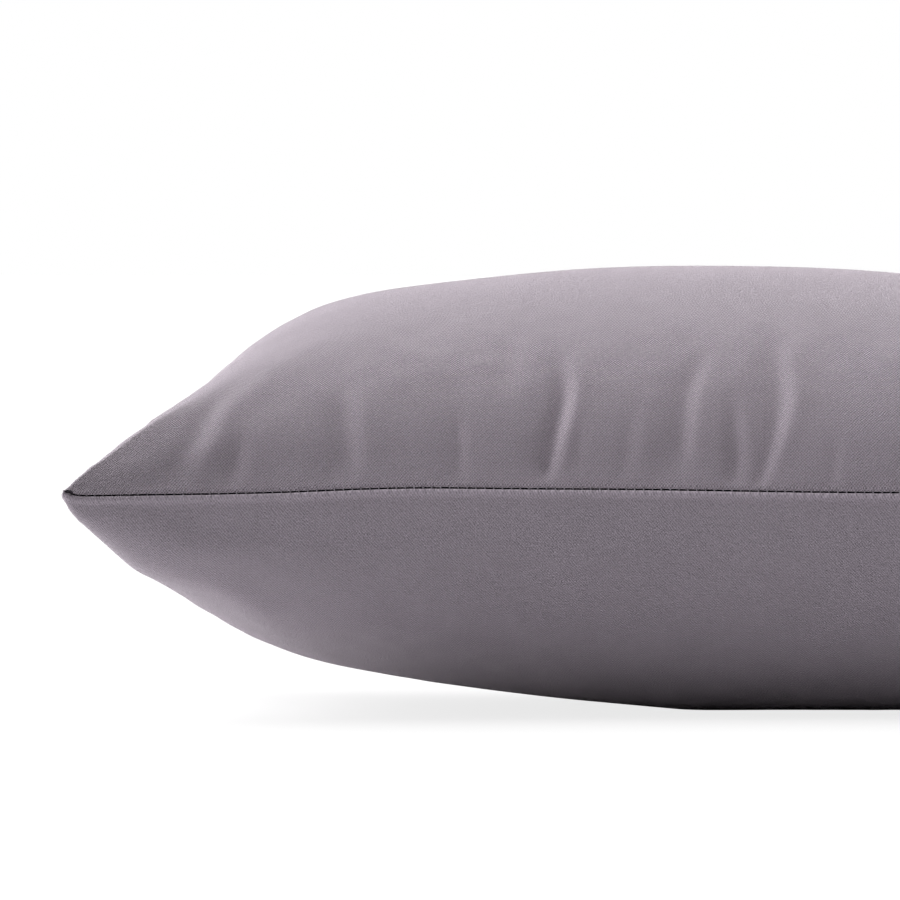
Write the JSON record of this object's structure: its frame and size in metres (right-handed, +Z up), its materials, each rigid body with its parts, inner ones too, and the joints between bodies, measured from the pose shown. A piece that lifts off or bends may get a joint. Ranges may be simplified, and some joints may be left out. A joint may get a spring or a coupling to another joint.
{
  "type": "outdoor lumbar pillow",
  "caption": "Oblong knife-edge lumbar pillow with a soft crown, drawn-in sewn sides and blunt corners, lying on its back.",
  "frame": {"origin": "under the middle of the pillow's box, on the surface it lies on", "axes": "+X along the long side, +Y across it towards the rear long seam, +Z up through the crown"},
  "size_m": [0.4862, 0.2882, 0.1581],
  "materials": {
    "cover_cloth": "matte fine twill"
  },
  "bodies": {
    "root": {"pillow": "cover_cloth"}
  },
  "joints": []
}
